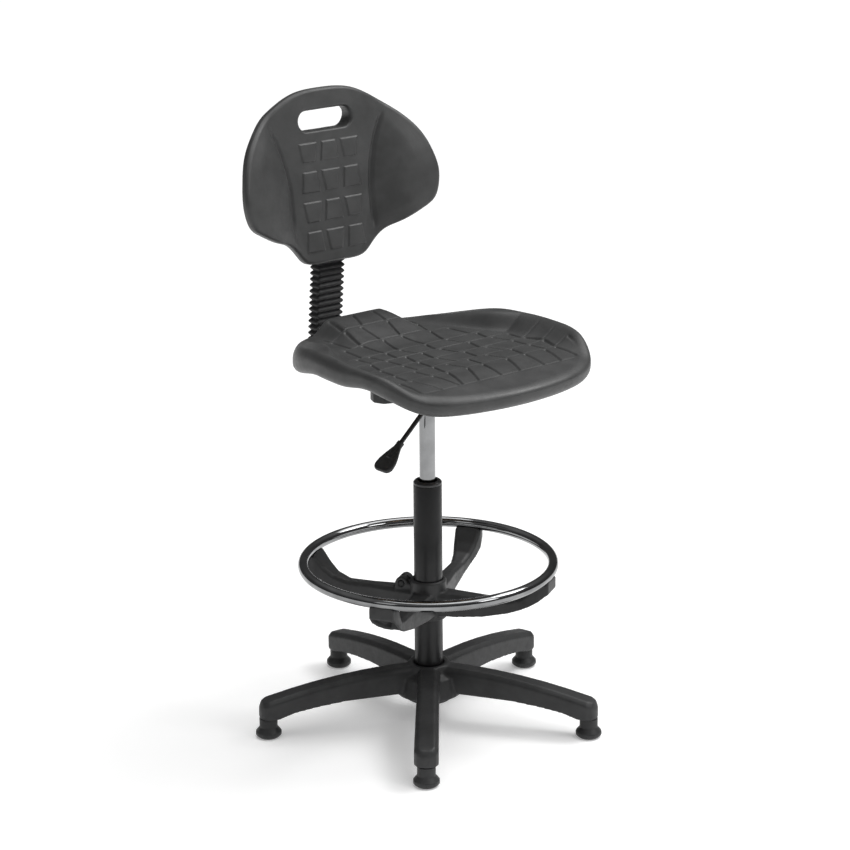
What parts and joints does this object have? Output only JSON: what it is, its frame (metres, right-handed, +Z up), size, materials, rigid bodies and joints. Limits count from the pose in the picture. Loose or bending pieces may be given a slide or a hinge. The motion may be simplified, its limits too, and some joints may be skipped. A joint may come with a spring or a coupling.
{
  "type": "drafting chair",
  "caption": "Tall work chair with moulded seat and back, gas lift on a star base with glides, adjustable footring, bellows-covered back strut and height lever.",
  "frame": {"origin": "middle of the footprint, on the floor the glides stand on", "axes": "+Z up, -Y the way the sitter faces, +X to the sitter's left"},
  "size_m": [0.6026, 0.5914, 1.0932],
  "materials": {
    "nylon": "fine-textured black",
    "pu_skin": "leather-grained self-skinned black polyurethane foam",
    "bellows_rubber": "satin black",
    "black_steel": "semi-gloss black powder coat",
    "chrome_plate": "bright plating",
    "zinc_steel": "zinc plated",
    "plywood": "bare birch plywood",
    "acetal": "satin black"
  },
  "bodies": {
    "base": {"star_base": "nylon", "glide_1": "nylon", "glide_2": "nylon", "glide_3": "nylon", "glide_4": "nylon", "glide_5": "nylon", "glide_stem_1": "zinc_steel", "glide_stem_2": "zinc_steel", "glide_stem_3": "zinc_steel", "glide_stem_4": "zinc_steel", "glide_stem_5": "zinc_steel", "column_tube": "black_steel", "guide_sleeve": "acetal", "thrust_bearing": "zinc_steel", "rod_clip": "zinc_steel"},
    "rod": {"piston_rod": "zinc_steel", "bump_buffer": "bellows_rubber"},
    "seat": {"gas_cylinder": "chrome_plate", "mechanism_housing": "black_steel", "mount_plate": "black_steel", "seat_pad": "pu_skin", "seat_insert": "plywood", "seat_screw_1": "zinc_steel", "seat_screw_2": "zinc_steel", "seat_screw_3": "zinc_steel", "seat_screw_4": "zinc_steel", "tilt_pin": "zinc_steel", "tilt_spring_left": "zinc_steel", "tilt_spring_right": "zinc_steel", "lever_pin": "zinc_steel"},
    "lever": {"lever_rocker": "zinc_steel", "lever_rod": "black_steel", "lever_paddle": "nylon"},
    "valve": {"valve_pin": "zinc_steel"},
    "guide": {"back_guide": "black_steel"},
    "depth_knob": {"depth_knob": "nylon"},
    "strut": {"back_strut": "black_steel", "bellows": "bellows_rubber"},
    "back": {"back_pad": "pu_skin", "back_insert": "zinc_steel", "back_bracket": "nylon", "back_screw_1": "zinc_steel", "back_screw_2": "zinc_steel", "back_screw_3": "zinc_steel", "back_screw_4": "zinc_steel"},
    "back_knob": {"back_knob": "nylon"},
    "footring": {"footring": "chrome_plate", "ring_spider": "nylon", "ring_screw_1": "zinc_steel", "ring_screw_2": "zinc_steel", "ring_screw_3": "zinc_steel", "ring_screw_4": "zinc_steel", "clamp_bolt": "black_steel", "clamp_nut": "zinc_steel"}
  },
  "joints": [
    {"name": "seat_swivel", "type": "hinge", "parent": "base", "child": "rod", "pos_m": [-0.00809, -0.02031, 0.06], "axis": [0, 0, 1], "continuous": true},
    {"name": "seat_height", "type": "slide", "parent": "rod", "child": "seat", "axis": [0, 0, 1], "range_m": [-0.11, 0.15]},
    {"name": "height_lever", "type": "hinge", "parent": "seat", "child": "lever", "pos_m": [-0.03859, -0.06531, 0.599], "axis": [0, 1, 0], "range_deg": [0, 6.5], "stiffness_Nm_per_rad": 2, "springref_deg": -11.46},
    {"name": "valve_press", "type": "slide", "parent": "seat", "child": "valve", "axis": [0, 0, -1], "range_m": [0, 0.0042]},
    {"name": "back_tilt", "type": "hinge", "parent": "seat", "child": "guide", "pos_m": [-0.00809, 0.05369, 0.618], "axis": [-1, 0, 0], "range_deg": [0, 14], "stiffness_Nm_per_rad": 60, "springref_deg": -14.32},
    {"name": "depth_knob_turn", "type": "hinge", "parent": "guide", "child": "depth_knob", "pos_m": [-0.00809, 0.09369, 0.571], "axis": [0, 0, 1], "range_deg": [0, 360]},
    {"name": "back_depth", "type": "slide", "parent": "guide", "child": "strut", "axis": [0, 1, 0], "range_m": [-0.02, 0.03]},
    {"name": "back_height", "type": "slide", "parent": "strut", "child": "back", "axis": [0, 0.1035, 0.9946], "range_m": [-0.012, 0.048], "deforming": ["bellows"]},
    {"name": "back_knob_turn", "type": "hinge", "parent": "back", "child": "back_knob", "pos_m": [-0.00809, 0.29192, 0.84305], "axis": [0, 0.9946, -0.1035], "range_deg": [0, 360]},
    {"name": "footring_height", "type": "slide", "parent": "base", "child": "footring", "axis": [0, 0, 1], "range_m": [-0.07, 0.09]}
  ],
  "couplings": [
    {"joint": "valve_press", "follows": "height_lever", "m_per_rad": 0.036}
  ]
}
